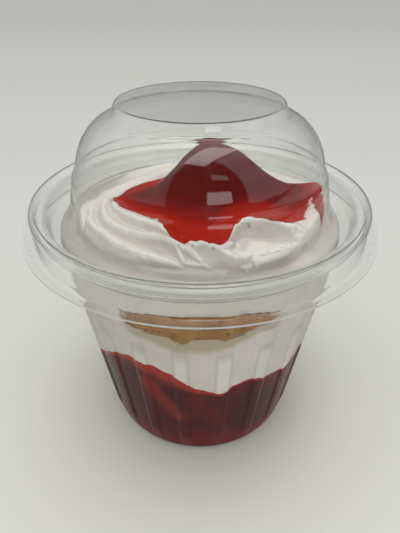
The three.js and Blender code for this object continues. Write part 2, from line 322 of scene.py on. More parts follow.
def creamFinish(name, shine, shade, leftShade):
    finish = Finish(name)
    look = creamLook
    cloud = finish.noise(9, 4)
    pits = finish.range(finish.cells(1.6), 0.0, 0.28)
    # shade scales the base colours; below 1 it paints shade on a shaded copy
    dull, bright, ribHighlight = [tuple(shade * part for part in look[key]) for key in ("dull", "bright", "rib")]
    colour = finish.blend(finish.range(cloud, 0.35, 0.7), dull, bright)
    # A brownish tint next to and below the sponge
    colour = finish.blend(finish.attribute("film") * 0.8, colour, look["film"])
    # Painted shade on steep slopes and on the swirl's side
    colour = finish.blend(finish.attribute("steep") * 0.62, colour, look["slope"])
    # Painted highlight on the crests
    colour = finish.blend(finish.attribute("crest") * 0.8, colour, look["crest"])
    # Painted shade on the low shelf near the rim
    colour = finish.blend(finish.attribute("shelf") * 0.66, colour, look["shelf"])
    # Painted highlight along the rib lines and painted shade at their edges, where the cup's ribs bend the
    # light
    rib = finish.attribute("rib")
    colour = finish.blend(rib * 0.4, colour, ribHighlight)
    colour = finish.blend(rib * (1 - rib) * 1.5, colour, look["shade"])
    # Painted shade, darker towards the left
    toLeft = 1 - finish.range(finish.split(finish.place)["X"], *look["leftSide"])
    colour = finish.blend(toLeft * leftShade, colour, look["shade"])
    colour = finish.blend(finish.attribute("speck") * 0.7, colour, look["speck"])
    pocket = finish.range(finish.noise(3.5, 2), 0.60, 0.72)
    normal = finish.bump(finish.noise(2.6, 4), 0.18, 0.5)
    normal = finish.bump(1 - (1 - pits) * pocket, 0.25, 0.6, normal)
    return finish.output(finish.principled({
        "Base Color": colour, "Roughness": finish.range(cloud, 0.3, 0.7, 0.42, 0.6), "Normal": normal,
        "Subsurface Weight": 0.25, "Subsurface Radius": (1.0, 0.85, 0.7), "Subsurface Scale": 0.002,
        "Specular IOR Level": shine,
    }))


# The band colour is painted light coming down into the top of the gel
gelLook = {
    "dark": (0.052, 0.005, 0.004), "fruit": (0.125, 0.009, 0.006), "streak": (0.20, 0.015, 0.008),
    "foot": (0.21, 0.016, 0.008), "band": (0.37, 0.036, 0.019), "paintedGrazingSheen": (0.26, 0.14, 0.125),
}


def gelFinish():
    finish = Finish("strawberryGel")
    look = gelLook
    depth = finish.attribute("depth")        # millimetres below the top of the layer, out to the wall
    fruit = finish.noise(11, 4, stretch=(1, 1, 0.8))
    band = finish.attribute("band")          # how deep the painted light band under the cream is
    litBand = 1 - finish.range(depth + (fruit - 0.5) * 1.6, band * 0.35, band * 1.25)
    deep = finish.blend(finish.range(fruit, 0.38, 0.68), look["dark"], look["fruit"])
    deep = finish.blend(finish.attribute("patch"), deep, look["streak"])
    low = 1 - finish.range(finish.split(finish.place)["Z"], 0.004, 0.014)
    deep = finish.blend(low * 0.62, deep, look["foot"])
    # Painted light: a brighter band under the cream
    colour = finish.blend(litBand, deep, look["band"])
    # A pale painted reflection at grazing angles, the veil the cup's plastic lays over the gel
    paintedGrazingSheen = finish.add("ShaderNodeLayerWeight", None, {"Blend": 0.5}, out="Facing")
    colour = finish.blend(finish.range(paintedGrazingSheen, 0.72, 0.88) * 0.55, colour, look["paintedGrazingSheen"])
    normal = finish.bump(finish.noise(4, 3), 0.25, 0.5)
    return finish.output(finish.principled({
        "Base Color": colour, "Roughness": finish.range(fruit, 0.3, 0.7, 0.18, 0.35), "Normal": normal,
        "Specular IOR Level": 0.02,
    }))


# The pore colour is painted shade inside the pores
spongeLook = {"crumb": (0.31, 0.155, 0.052), "light": (0.45, 0.25, 0.10), "poreShade": (0.22, 0.115, 0.045)}


def spongeFinish():
    finish = Finish("spongeCake")
    crumb = finish.noise(2.2, 5)
    holes = finish.range(finish.cells(2.0), 0.05, 0.45)
    patch = finish.range(finish.noise(7, 3), 0.35, 0.7)
    colour = finish.blend(patch, spongeLook["crumb"], spongeLook["light"])
    # Painted shade in the pores
    colour = finish.blend((1 - holes) * 0.75, colour, spongeLook["poreShade"])
    normal = finish.bump(holes + crumb * 0.8, 0.5, 0.9)
    return finish.output(finish.principled({
        "Base Color": colour, "Roughness": finish.range(crumb, 0.3, 0.7, 0.7, 0.9), "Normal": normal,
        "Specular IOR Level": 0.1,
    }))


glazeLook = {
    "depth": 14.0,              # millimetres of glaze at the last of these colours
    "colours": (
        (0.0, (0.46, 0.016, 0.004)), (0.12, (0.38, 0.009, 0.003)), (0.3, (0.19, 0.008, 0.005)),
        (0.5, (0.135, 0.007, 0.005)), (1.0, (0.12, 0.007, 0.005)),
    ),
    "dullBelow": (0.0845, 0.087), "dullness": 0.2,      # metres above the floor; the tongue is duller
}


def glazeFinish():
    finish = Finish("strawberryGlaze")
    look = glazeLook
    depth = finish.attribute("depth")        # millimetres of glaze above the cream
    swirl = finish.noise(8, 3)
    seen = depth + (swirl - 0.5) * 1.6
    colour = finish.ramp(finish.range(seen, 0.0, look["depth"]), *look["colours"])
    normal = finish.bump(finish.noise(7, 2), 0.5, 0.35)
    tongue = 1 - finish.range(finish.split(finish.place)["Z"], *look["dullBelow"])
    roughness = finish.range(swirl, 0.3, 0.7, 0.2, 0.3) + tongue * look["dullness"]
    return finish.output(finish.principled({
        "Base Color": colour, "Roughness": roughness, "Normal": normal,
        "Specular IOR Level": 0.045,
    }))


tableLook = {
    "near": -0.06, "far": 2.5,                   # metres along Y, from the first colour to the last
    # These colours paint the light's falloff: the table darkens away from the viewer
    "colours": (
        (0.0, (0.775, 0.78, 0.74)), (0.027, (0.71, 0.715, 0.68)), (0.068, (0.70, 0.71, 0.68)),
        (0.123, (0.665, 0.675, 0.65)), (0.258, (0.63, 0.64, 0.61)), (0.56, (0.585, 0.595, 0.57)),
        (0.92, (0.57, 0.58, 0.55)),
    ),
    # The last line paints the table dark in reflections in front of the viewer: a painted reflection
    "darkReflectionSpan": (-0.32, -0.24), "leastMirrored": 0.35, "dark": (0.03, 0.03, 0.03),
}


def floorFinish():
    finish = Finish("paleTable")
    look = tableLook
    grain = finish.noise(3, 4)
    along = finish.split(finish.place)["Y"]
    sockets = {"Value": along, "From Min": look["near"], "From Max": look["far"]}
    # Painted light falloff along Y
    colour = finish.ramp(finish.add("ShaderNodeMapRange", None, sockets), *look["colours"])
    # Painted reflection: in the plastic's reflections the table in front of the viewer is painted dark,
    # standing for its end there
    mirrored = finish.pathDepth("Glossy Depth") * (1 - finish.pathDepth("Diffuse Depth"))
    ended = 1 - finish.range(along, *look["darkReflectionSpan"])
    ended = ended.maths("MAXIMUM", ended, look["leastMirrored"])
    colour = finish.blend(mirrored * ended, colour, look["dark"])
    return finish.output(finish.principled({
        "Base Color": colour, "Roughness": finish.range(grain, 0.3, 0.7, 0.55, 0.7),
        "Normal": finish.bump(grain, 0.05, 0.2),
    }))


# Camera, at the angle of the photograph: 451 pixels of focal length over 400 pixels of width
viewing = {"place": (0, -0.1315, 0.1441), "down": 33.66, "lens": 451 / 400 * 36}


def makeCamera():
    camera = bpy.data.cameras.new("viewer")
    camera.sensor_width = 36
    camera.sensor_fit = "HORIZONTAL"
    camera.lens = viewing["lens"]
    camera.clip_start = 0.001
    viewer = bpy.data.objects.new("viewer", camera)
    bpy.context.scene.collection.objects.link(viewer)
    viewer.location = viewing["place"]
    viewer.rotation_euler = (math.radians(90 - viewing["down"]), 0, 0)
    bpy.context.scene.camera = viewer
    print("camera set")


studio = {
    "floorSize": 9000, "low": 0.26, "high": 1.36, "left": 0.10, "back": 0.30, "frontSides": 0.06,
    "mirroredRight": 0.35, "behindViewer": 0.035, "viewerLights": 0.8, "mirroredHigh": 0.6,
    "keyPlace": (0.08, -0.03, 1.25), "keySize": (0.88, 0.32), "keyPower": 1.7,
    "windows": (                # left, right, foot and head as slopes of the view from the cup, and light
        (0.10, 0.52, 0.05, 0.41, 1.8), (0.21, 0.57, 0.87, 1.2, 0.8),
    ),
}


def makeFloor():
    deselectAll()
    size = studio["floorSize"]
    bpy.ops.mesh.primitive_plane_add(size=size * mm, location=(0, 0, 0))
    floor = bpy.context.object
    floor.name = "floor"
    floor.data.materials.append(floorFinish())


def addLamp(name, place, aim, size, power):
    lamp = bpy.data.lights.new(name, "AREA")
    lamp.shape = "RECTANGLE"
    lamp.size, lamp.size_y = size[0], size[1]
    lamp.energy = power
    holder = bpy.data.objects.new(name, lamp)
    bpy.context.scene.collection.objects.link(holder)
    holder.location = place
    direction = [a - b for a, b in zip(aim, place)]
    flat = math.hypot(direction[0], direction[1])
    holder.rotation_euler = (
        math.atan2(flat, -direction[2]), 0, math.atan2(direction[1], direction[0]) - math.pi / 2
    )


# A pale room, dark behind the viewer between two planes, with two windows there that the dome mirrors
def makeLight():
    look = studio
    sky = Finish("room", world=True)
    x, y, z = (sky.split(sky.place)[axis] for axis in "XYZ")
    light = sky.range(z, 0.4, 0.95, look["low"], look["high"]) - look["left"] * x
    light = light + look["back"] * y * sky.range(z, 0.35, 0.8)
    light = light + look["frontSides"] * sky.range(0 - y, 0.15, 0.5)
    rightEdge = sky.range(0 - x - 0.90 * y, 0.0, 0.05)
    leftEdge = sky.range(x - 0.58 * y, 0.0, 0.05)
    dark = leftEdge * rightEdge * (1 - sky.range(z, 0.95, 0.985))
    diffuse = sky.pathDepth("Diffuse Depth")
    mirrored = sky.pathDepth("Glossy Depth") * (1 - diffuse)
    light = light * (1 - mirrored * sky.range(z, 0.45, 0.75) * (1 - look["mirroredHigh"]))
    toRight = sky.range(x, 0.3, 0.6) * sky.range(0 - y, -0.05, 0.25) * (1 - sky.range(z, 0.6, 0.8))
    light = light + look["mirroredRight"] * toRight * mirrored
    dark = dark * (mirrored + diffuse)
    behind = sky.range(diffuse, 0.0, 1.0, look["behindViewer"], look["viewerLights"])
    light = light * (1 - dark) + behind * dark
    across, up = x.maths("DIVIDE", x, 0 - y), x.maths("DIVIDE", z, 0 - y)
    facing = 1 - sky.range(y, -0.3, -0.2)
    soft = 0.02
    for left, right, foot, head, power in look["windows"]:
        pane = sky.range(across, left, left + soft) * (1 - sky.range(across, right - soft, right))
        pane = pane * sky.range(up, foot, foot + soft) * (1 - sky.range(up, head - soft, head))
        light = light + power * pane * facing * mirrored
    glow = sky.add("ShaderNodeBackground", None, {"Color": (1.0, 0.995, 0.97, 1), "Strength": light})
    bpy.context.scene.world = sky.output(glow, "ShaderNodeOutputWorld")
    addLamp("key", look["keyPlace"], (0, 0, 0.05), look["keySize"], look["keyPower"])
    print("lights set")


# The cup's form, which the filling follows

cupForm = {
    "sheet": 0.5, "baseFloor": 1.4, "heelRadius": 3, "wallFoot": 33.3, "wallTop": 44.1, "shoulder": 75.4,
    "mouth": 47.1, "lip": 50.2, "lipHeight": 83, "segments": 400,
    "ribs": 20, "ribRelief": 0.55, "ribWidth": 0.27, "ribSide": 0.07, "ribTurn": 10,
    "ribFoot": (3, 9), "ribHead": 71,
    "reach": 0.15,              # how far the filling reaches into the wall, so that no air gap shows
}


def wallRadius(height):
    return lerp(cupForm["wallFoot"], cupForm["wallTop"], height / cupForm["shoulder"])


def ribOut(angle, height):
    spacing = 2 * math.pi / cupForm["ribs"]
    place = (angle - math.radians(cupForm["ribTurn"])) / spacing
    place = np.abs(place - np.round(place))
    edge = cupForm["ribWidth"] / 2
    rise = 1 - smooth(edge, edge + cupForm["ribSide"], place)
    ended = smooth(cupForm["ribHead"], cupForm["shoulder"], height)
    return cupForm["ribRelief"] * rise * smooth(*cupForm["ribFoot"], height) * (1 - ended)


def heelRings(inset, steps=7):
    heel = cupForm["heelRadius"]
    floor = cupForm["baseFloor"] + inset
    foot = cupForm["wallFoot"]
    rings = [(9, floor), (foot - 10.3, floor), (foot - 9.9, floor - 0.15), (foot - 8.4, inset + 0.1)]
    rings += [(foot - 8.0, inset), (foot - heel, inset)]
    for step in range(1, steps + 1):
        turn = step / steps * math.pi / 2
        height = heel - (heel - inset) * math.cos(turn)
        rings.append((wallRadius(height) - heel + (heel - inset) * math.sin(turn), height))
    return rings


def makeCup():
    part = cupForm
    rings = heelRings(0)
    rings += [(wallRadius(height), height) for height in np.linspace(5, 71, 34)]
    rings += [(wallRadius(height), height) for height in (72, 73, 74, 74.8)]
    top, mouth, lip, crown = part["wallTop"], part["mouth"], part["lip"], part["lipHeight"]
    shoulder = part["shoulder"]
    rings += [(top, shoulder), (top + 0.6, shoulder + 0.7), (top + 1.6, shoulder + 1.2)]
    rings += [(mouth - 0.6, shoulder + 1.5), (mouth, shoulder + 2.0)]
    for share in (0.25, 0.5, 0.75, 1):
        rings.append((lerp(mouth, mouth + 1.4, share), lerp(77.6, crown - 0.9, share)))
    rings += [(mouth + 1.8, crown - 0.35), (lip - 0.9, crown - 0.1), (lip - 0.35, crown - 0.15)]
    rings += [(lip - 0.05, crown - 0.5), (lip, crown - 1.0), (lip, crown - 1.6)]
    cup = ringPiece("cupShell", part["segments"], rings)
    points = readPoints(cup)
    angle, radius = polar(points)
    radius = radius + np.where(radius > 30, ribOut(angle, points[:, 2]), 0)
    writePoints(cup, fromPolar(angle, radius, points[:, 2]))
    bpy.ops.object.mode_set(mode="EDIT")
    bpy.ops.mesh.select_all(action="SELECT")
    bpy.ops.mesh.flip_normals()
    bpy.ops.object.mode_set(mode="OBJECT")
    applyModifier(cup, "SOLIDIFY", thickness=part["sheet"] * mm, offset=-1, use_even_offset=True)
    radius = np.hypot(*readPoints(cup)[:, :2].T)
    # The cup's rolled mouth gets the painted highlight frost
    setAttribute(cup, "bend", smooth(part["mouth"] + 0.9, part["mouth"] + 1.6, radius))
    finishPiece(cup, "cup_plastic", clearPlastic("cupPlastic", (1, 1, 0.35), 1.35), "cup", angle=60)


lidForm = {
    "sheet": 0.4, "top": 113.1, "disc": 24.4, "discDrop": 3.5, "stepRadius": 37.1, "stepHeight": 94.6,
    "stepOut": 1.1, "footRadius": 40.3, "footHeight": 82.8, "channelFloor": 79.2, "channelOuter": 46.2,
    "rim": 51.9, "rimHeight": 85.5, "rimRound": 1.15, "bandFoot": 76.2, "flange": 55.1,
    "segments": 256, "edgeHighlightShare": 0.55, "edgeWidth": 0.15,
}


def makeLid():
    part = lidForm
    top, disc, drop = part["top"], part["disc"], part["discDrop"]
    rings = [(9, top), (disc - 1.8, top)] + arc(disc - 1.0, top - 1.0, 1.0, 90, 10)
    rings += [(disc + 0.5, top - drop + 0.8), (disc + 0.8, top - drop + 0.25)]
    foot = (disc + 1.2, top - drop)
    step = (part["stepRadius"], part["stepHeight"])
    handles = (foot, (foot[0] + 7.5, foot[1] - 2.1), (step[0] - 0.8, step[1] + 6.5), step)
    for share in np.linspace(0, 1, 22):
        rest = 1 - share
        weights = (rest ** 3, 3 * share * rest ** 2, 3 * share ** 2 * rest, share ** 3)
        rings.append(tuple(sum(w * h[axis] for w, h in zip(weights, handles)) for axis in (0, 1)))
    rings += [(step[0] + 0.35, step[1] - 0.55), (step[0] + 0.9, step[1] - 1.0)]
    start = (step[0] + part["stepOut"], step[1] - 1.4)
    foot = (part["footRadius"], part["footHeight"])
    for share in np.linspace(0, 1, 6):
        rings.append((lerp(start[0], foot[0], share), lerp(start[1], foot[1], share)))
    floor, outer = part["channelFloor"], part["channelOuter"]
    rings += [(foot[0] + 0.35, floor + 1.9), (foot[0] + 0.9, floor + 0.8), (foot[0] + 1.5, floor + 0.2)]
    rings += [(foot[0] + 2.3, floor), (outer - 0.8, floor), (outer - 0.25, floor + 0.15)]
    rings += [(outer, floor + 0.6)]
    rim, high, band, crest = part["rim"], part["rimHeight"], part["bandFoot"], part["rimRound"]
    rings += [(46.9, 81.6), (47.4, 83.1), (47.8, 83.8), (48.4, 84.2), (49.1, 84.35), (49.7, 84.6)]
    rings += arc(rim - crest, high - crest, crest, 120, 5, 9)
    rings += [(rim - 0.05, high - 2.6), (rim - 0.2, 80.5)]
    rings += arc(rim + 0.65, band + 1.0, 1.0, 180, 265, 5)
    rings += [(53.2, band + 0.15), (part["flange"] - 0.4, band + 0.45), (part["flange"], band + 0.5)]
    lid = ringPiece("lidShell", part["segments"], rings)
    applyModifier(lid, "SOLIDIFY", thickness=part["sheet"] * mm, offset=-1, use_even_offset=True)
    points = readPoints(lid)
    radius = np.hypot(points[:, 0], points[:, 1])
    # The rim's sharp bend gets the painted highlight frost
    bend = smooth(46.5, 47.2, radius) * (1 - smooth(49.3, 50.3, radius)) * smooth(82, 83, points[:, 2])
    setAttribute(lid, "bend", bend)
    setAttribute(lid, "flange", smooth(52.2, 52.9, radius) * (1 - smooth(54.3, 54.8, radius)))
    finishPiece(lid, "lid_plastic", clearPlastic("lidPlastic", (1, 1, 1.6), 1.47), "lid", angle=60)
    # The cut edge of the flange gets a milky painted highlight
    lid.data.materials.append(clearPlastic("lidEdge", (1, 1, 1), 1.47, part["edgeHighlightShare"]))
    for face in lid.data.polygons:
        if math.hypot(face.center.x, face.center.y) > (part["flange"] - part["edgeWidth"]) * mm:
            face.material_index = 1


# Filling

dessert = {
    "redLevel": 39.5, "creamShelf": 78, "creamEdge": 39.2, "creamSettle": 2.4, "creamRise": 5,
    "spongeBottom": 60.8, "spongeTop": 69.6, "spongeShows": 29, "spongeInset": 6, "spongeSlope": 3.5,
    "spongeMiddle": -3, "spongeFloorRise": 4.3, "spongeFloorPower": 2.6,
    "slotDepth": 3.0,                      # how far the cream stands back where the sponge shows
    "brownTintDepth": 6.8, "brownTintHalf": 28,      # the brownish tint on the wall below the sponge
}


def fillRadius(angle, height):
    inset = cupForm["sheet"] - cupForm["reach"]
    heel = cupForm["heelRadius"]
    away = np.clip((heel - height) / (heel - inset), 0, 1)
    rounding = (heel - inset) * (1 - np.sqrt(1 - away ** 2))
    return wallRadius(height) - inset - rounding + ribOut(angle, height)


redWaves = (                # how the red layer's top rises and falls round the cup: angle, height
    (-180, 40), (-120, 38.5), (-90, 36), (-70, 35), (-56, 36.5), (-48, 42), (-40, 45.4), (-34, 46.6),
    (-30, 47.2), (-22, 46.4), (-15, 44.8), (-10, 43.2), (-4, 38.6), (3, 36.0), (10, 34.8), (14, 36.6),
    (18, 38.8), (24, 39.3), (30, 37.4), (36, 36.4), (44, 35.6), (58, 36.9), (80, 38), (110, 41), (150, 42),
)
redBand = (                 # depth of the painted light band under the cream: angle, depth
    (-180, 2.0), (-60, 1.2), (-45, 1.6), (-36, 2.4), (-27, 4.6), (-18, 6.2), (-10, 5.0), (-2, 2.8),
    (8, 1.3), (45, 1.2), (180, 2.0),
)
redPatch = ((-26, 38), (-12, 22), 4.2)      # a brighter streak: upper and lower end, half width


def redTop(angle, share):
    level = fromTable(angle, redWaves, 3) + 0.25 * np.sin(31 * angle) + 0.15 * np.sin(53 * angle + 1)
    return lerp(dessert["redLevel"], level, share)


# The rings of each layer only say which part of it they are; every point then goes to its true place
def makeRedLayer():
    inset = cupForm["sheet"] - cupForm["reach"]
    sides = np.linspace(5.5, 40, 22)
    inner = (0.995, 0.96, 0.88, 0.75, 0.55, 0.35, 0.15)
    rings = heelRings(inset) + [(wallRadius(height), height) for height in sides]
    rings += [(wallRadius(40) * share, 41 + step) for step, share in enumerate(inner)]
    layer = ringPiece("redLayer", cupForm["segments"], rings, closeEnd=True)
    points = readPoints(layer)
    angle, radius = polar(points)
    height = points[:, 2].copy()
    onSide = (height > 5) & (height < 40.5)
    onTop = height >= 40.5
    share = np.clip(radius / wallRadius(40), 0, 1)
    rise = (height - sides[0]) / (sides[-1] - sides[0])
    height = np.where(onSide, lerp(sides[0], redTop(angle, 1.0), rise), height)
    height = np.where(onTop, redTop(angle, share), height)
    radius = np.where(onSide, fillRadius(angle, height), radius)
    radius = np.where(onTop, share * fillRadius(angle, redTop(angle, 1.0)), radius)
    writePoints(layer, fromPolar(angle, radius, height))
    setAttribute(layer, "depth", redTop(angle, 1.0) - height)
    spots, depths = zip(*redBand)
    setAttribute(layer, "band", np.interp(np.degrees(angle), spots, depths))
    (first, high), (last, low), half = redPatch
    along = np.clip((high - height) / (high - low), 0, 1)
    aside = (np.degrees(angle) - lerp(first, last, along)) * 0.65
    away = np.hypot(aside, height - lerp(high, low, along))
    setAttribute(layer, "patch", 1 - smooth(0.3, 1.0, away / half))
    finishPiece(layer, "strawberry_gel", gelFinish(), "strawberry_layer")


wallSpeck = (21.4, 50.0, 1.1, 0.45)            # angle, height, half its width in degrees, half its height
topSpecks = ((13.6, -20.5, 0.45), (-1.9, -29.9, 0.35), (3.4, -31.2, 0.3))      # place, half width


def makeCreamLayer(material):
    top = dessert["spongeBottom"] - 0.1
    inner = (0.12, 0.35, 0.55, 0.75, 0.88, 0.96, 0.995)
    rings = [(wallRadius(40) * share, 30 + step * 0.1) for step, share in enumerate(inner)]
    sides = np.linspace(41, top, 18)
    rings += [(wallRadius(height), height) for height in sides]
    for step, share in enumerate((0.995, 0.9, 0.6, 0.3)):
        rings.append((wallRadius(top) * share, top + 1 + step))
    layer = ringPiece("creamLayer", cupForm["segments"], rings, closeEnd=True)
    points = readPoints(layer)
    angle, radius = polar(points)
    height = points[:, 2].copy()
    onBottom = height < 40
    onTop = height > top + 0.5
    share = np.clip(radius / wallRadius(np.where(onBottom, 40, top)), 0, 1)
    rise = (height - sides[0]) / (sides[-1] - sides[0])
    under = redTop(angle, share) - 0.04
    height = np.where(onBottom, under, np.where(onTop, top, lerp(redTop(angle, 1.0), top, rise)))
    radius = np.where(onBottom | onTop, share * fillRadius(angle, height), fillRadius(angle, height))
    writePoints(layer, fromPolar(angle, radius, height))
    turned = (np.degrees(angle) - dessert["spongeMiddle"]) / dessert["brownTintHalf"]
    reach = dessert["brownTintDepth"] * np.maximum(0, 1 - turned ** 2) + 0.25 * np.sin(23 * angle)
    # A brownish tint on the wall below the sponge
    setAttribute(layer, "film", 1 - smooth(reach - 2.4, reach + 0.5, dessert["spongeBottom"] - height))
    # Where the cup's ribs are, for the cream's painted rib highlights and shades
    setAttribute(layer, "rib", ribOut(angle, height) / cupForm["ribRelief"] * (1 - smooth(50, 57, height)))
    at, level, wide, tall = wallSpeck
    away = np.hypot((np.degrees(angle) - at) / wide, (height - level) / tall)
    setAttribute(layer, "speck", 1 - smooth(0.6, 1.2, away))
    finishPiece(layer, "whipped_cream", material, "cream_layer")


def spongeSunk(angle):
    shows = math.radians(dessert["spongeShows"])
    return smooth(shows, shows + 0.9, np.abs(angle))


def spongeCeiling(angle):
    shows = math.radians(dessert["spongeShows"])
    slope = dessert["spongeSlope"] * smooth(shows / 3, shows * 1.2, np.abs(angle))
    return dessert["spongeTop"] + 0.4 * np.sin(7 * angle) - slope


# Where the sponge begins on the wall; it curves up to both ends of the slice
def spongeFloor(angle):
    turned = np.abs(np.degrees(angle) - dessert["spongeMiddle"]) / 30
    return dessert["spongeBottom"] + dessert["spongeFloorRise"] * turned ** dessert["spongeFloorPower"]


# Crumbs that hang from the sponge: angle, half width, length
hangingCrumbs = ((-19, 1.2, 0.6), (-7.5, 2.6, 1.7), (-4.4, 1.2, 1.0), (9, 1.5, 0.7), (17, 1.3, 0.5))


def makeSponge():
    low, high = dessert["spongeBottom"], dessert["spongeTop"]
    inner = (0.3, 0.6, 0.85, 0.97)
    sides = np.linspace(low, high, 20)
    rings = [(wallRadius(low) * share, 40 + step) for step, share in enumerate(inner)]
    rings += [(wallRadius(height), height) for height in sides]
    rings += [(wallRadius(high) * share, 80 + step) for step, share in enumerate(reversed(inner))]
    sponge = ringPiece("spongeSlice", cupForm["segments"], rings, closeEnd=True)
    points = readPoints(sponge)
    angle, radius = polar(points)
    height = points[:, 2].copy()
    onBottom, onTop = height < low - 1, height > high + 1
    share = np.where(onBottom, radius / wallRadius(low), np.where(onTop, radius / wallRadius(high), 1))
    rise = np.where(onBottom, 0, np.where(onTop, 1, (height - low) / (high - low)))
    height = lerp(low, lerp(high, spongeCeiling(angle), share), rise)
    radius = fillRadius(angle, height) * share - dessert["spongeInset"] * spongeSunk(angle) * share
    placed = fromPolar(angle, radius, height)
    radius = radius - 1.2 * (height < spongeFloor(angle) - 0.5)
    crumb = np.maximum(0, ripple(placed, 2.6, 5)) + 0.6 * np.maximum(0, ripple(placed, 1.1, 6))
    radius = radius - 0.05 * crumb * smooth(0.9, 1.0, share)
    height = height - 0.25 * np.minimum(0, ripple(placed, 3.0, 7)) * (rise < 0.03)
    for at, width, drop in hangingCrumbs:
        lump = np.exp(-((np.degrees(angle) - at) / width) ** 2) * (share > 0.9)
        height = height - drop * lump * np.maximum(0, 1 - rise * 4)
        radius = radius + 0.06 * lump
    writePoints(sponge, fromPolar(angle, radius, height))
    finishPiece(sponge, "sponge_cake", spongeFinish(), "sponge_layer")


# The piped cream: ropes and folds whose crests are points with heights. A fold falls gently inwards and
# steeply outwards, and its points run round the dessert anticlockwise seen from above.
ropes = (
    {"half": 7,
     "path": ((-35.5, -14, 82.3), (-33.5, -8, 83.6), (-28.5, -2, 85.2), (-20.5, 5, 86.6), (-11, 11.5, 88),
              (-3, 15, 88.3))},
    {"half": 9,
     "path": ((-3, 15, 88.3), (9, 19, 87), (21, 17, 85.3), (31, 10, 84.5))},
    {"half": 7,
     "path": ((31, 10, 84.5), (36, 1, 84.6), (36, -8, 84.5), (32, -16.5, 84.2), (27, -20.5, 84))},
)
folds = (
    {"out": 2.2, "drop": 3.4, "in": 0.34,
     "path": ((-33, -9, 83.8), (-31.9, -16.2, 84), (-29, -20.3, 83.5), (-22.9, -26.9, 83),
              (-17.4, -31, 82.5), (-12.2, -32.9, 82), (-6.5, -34.6, 81), (-3.5, -35.8, 79))},
    {"out": 2.2, "drop": 3.2, "in": 0.35,
     "path": ((-28.5, -7, 86), (-28.6, -12.5, 86), (-26.5, -18.4, 85.5), (-22.5, -22.4, 85.2),
              (-16.1, -26.1, 85), (-9.5, -27.6, 84.6), (-4, -30.9, 83.4))},
    {"out": 2.0, "drop": 2.4, "in": 0.3,
     "path": ((-25.8, -9, 86.6), (-24.5, -13, 86.4), (-18.3, -18.6, 86), (-11.1, -22.6, 85.5),
              (-8.5, -26.5, 84.8))},
    {"out": 6.5, "drop": 4.8, "in": 0.2,      # the hump right of the tongue
     "path": ((6.5, -28.5, 82.4), (8.2, -24, 83.4), (10.5, -20.4, 84.6), (13.4, -19, 85.4),
              (19.1, -19.4, 85.6), (25.5, -22, 84.9))},
    {"out": 5, "drop": 3.8, "in": 0.03,       # the ledge in front
     "path": ((-3.9, -27.6, 83.8), (-1.7, -29.2, 84), (1.7, -29.7, 84), (5, -31, 83.5),
              (7.4, -32.2, 82.6), (10, -32.4, 82), (14, -32, 81.7), (19, -30.5, 81.8), (25, -27.5, 82))},
)
pits = {"fold": 4, "reach": 1.1, "deep": 0.5, "from": 1.5}      # along the ledge's crest
humpFootShade = {"fold": 3, "shade": 0.75}                           # painted shade makes the hollow at the hump's foot greyer


def pathDistance(points, path):
    best = np.full(len(points), 1e9)
    side = np.zeros(len(points))
    crest = np.zeros(len(points))
    for first, second in zip(path, path[1:]):
        first, second = np.array(first, float), np.array(second, float)
        along = second[:2] - first[:2]
        away = points[:, :2] - first[:2]
        share = np.clip(away @ along / (along @ along), 0, 1)
        foot = away - share[:, None] * along
        distance = np.hypot(foot[:, 0], foot[:, 1])
        nearer = distance < best
        best = np.where(nearer, distance, best)
        outward = away[:, 0] * along[1] - away[:, 1] * along[0]
        side = np.where(nearer, np.sign(outward), side)
        crest = np.where(nearer, lerp(first[2], second[2], share), crest)
    return best, side, crest


def smoothPath(path, steps=6):
    points = [np.array(p, float) for p in path]
    points = [2 * points[0] - points[1]] + points + [2 * points[-1] - points[-2]]
    result = []
    for before, first, second, after in zip(points, points[1:], points[2:], points[3:]):
        for step in range(steps):
            t = step / steps
            result.append(0.5 * (
                2 * first + (second - before) * t + (2 * before - 5 * first + 4 * second - after) * t * t
                + (3 * first - before - 3 * second + after) * t ** 3
            ))
    result.append(points[-2])
    return result


def creamTop(x, y):
    points = np.stack([x, y], axis=1)
    radius = np.hypot(x, y)
    shelf, edge = dessert["creamShelf"], dessert["creamEdge"]
    height = shelf + dessert["creamRise"] * np.maximum(0, 1 - (radius / edge) ** 2)
    for rope in ropes:
        away, _, crest = pathDistance(points, smoothPath(rope["path"]))
        away = np.minimum(away / rope["half"], 1)
        height = np.maximum(height, crest - rope["half"] * (1 - np.sqrt(1 - away ** 2)))
    for number, fold in enumerate(folds):
        away, side, crest = pathDistance(points, smoothPath(fold["path"]))
        past = np.minimum(away / fold["out"], 1)
        outer = crest - fold["drop"] * (1.5 * past - 0.5 * past ** 3)
        outer = outer - 1.2 * np.maximum(0, away - fold["out"])
        inner = crest - fold["in"] * away - 0.03 * away ** 2
        if number == pits["fold"]:
            pit = np.maximum(0, ripple(np.stack([x, y, 0 * x], axis=1), 1.5, 31) - 0.4)
            inner = inner - pits["deep"] * pit * (away < pits["reach"]) * (x > pits["from"])
        height = np.maximum(height, np.where(side > 0, outer, inner))
    settle = smooth(edge - dessert["creamSettle"], edge, radius)
    return lerp(height, shelf, settle)


